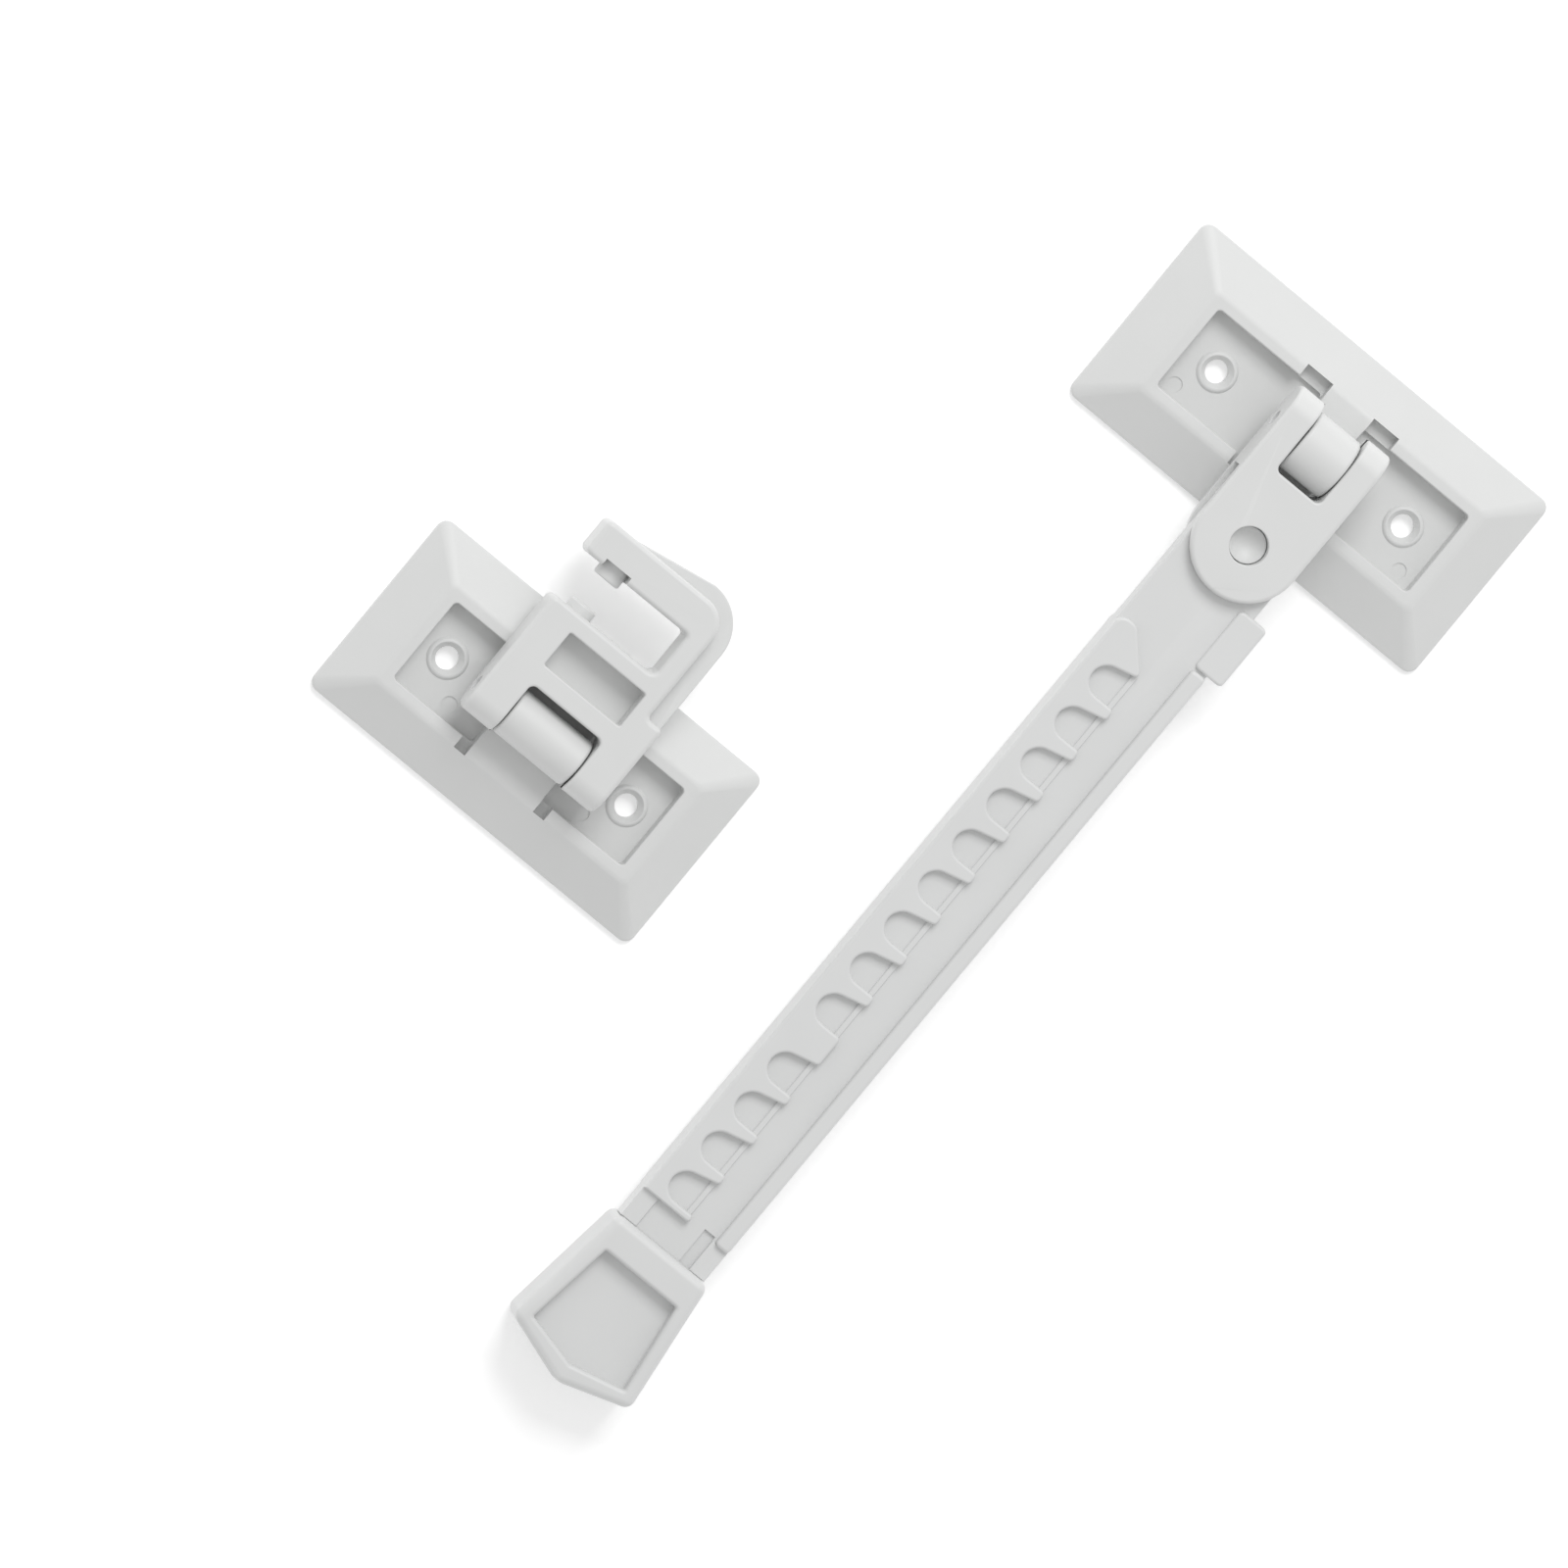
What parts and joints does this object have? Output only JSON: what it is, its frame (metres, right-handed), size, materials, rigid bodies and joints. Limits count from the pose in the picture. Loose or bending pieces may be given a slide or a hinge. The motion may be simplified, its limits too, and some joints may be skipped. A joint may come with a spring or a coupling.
{
  "type": "window restrictor stay",
  "caption": "Adjustable casement window stay: a notched arm swivels in a forked bracket hinged on a screw-on base, and drops into the hooked bracket of a separate screw-on catch base.",
  "frame": {"origin": "centre of the arm base's back face, where it meets the window frame", "axes": "+Z out of the surface that the bases are screwed to, +X along both bases, and the arm points to -Y"},
  "size_m": [0.1512, 0.2313, 0.0194],
  "materials": {
    "white_abs": "satin moulded ABS",
    "pin_steel": "drawn steel wire"
  },
  "bodies": {
    "catch_mount": {"catch_base": "white_abs"},
    "catch_hook": {"hooked_bracket": "white_abs", "catch_hinge_pin": "pin_steel"},
    "arm": {"notched_arm": "white_abs", "end_cap": "white_abs"},
    "fork": {"forked_bracket": "white_abs", "arm_hinge_pin": "pin_steel", "pivot_pin": "white_abs"},
    "arm_mount": {"arm_base": "white_abs"}
  },
  "joints": [
    {"name": "catch_hinge", "type": "hinge", "parent": "catch_mount", "child": "catch_hook", "pos_m": [-0.0744, -0.1254, 0.0114], "axis": [1, 0, 0], "range_deg": [0, 180]},
    {"name": "units_apart", "type": "slide", "parent": "catch_mount", "child": "arm", "axis": [1, 0, 0], "range_m": [0, 0.06]},
    {"name": "arm_swivel", "type": "hinge", "parent": "arm", "child": "fork", "pos_m": [0, -0.02029, 0.01271], "axis": [0, -0.0288, 0.9996], "range_deg": [-80, 90]},
    {"name": "arm_hinge", "type": "hinge", "parent": "fork", "child": "arm_mount", "pos_m": [0, 0, 0.0133], "axis": [1, 0, 0], "range_deg": [-6, 189]}
  ]
}
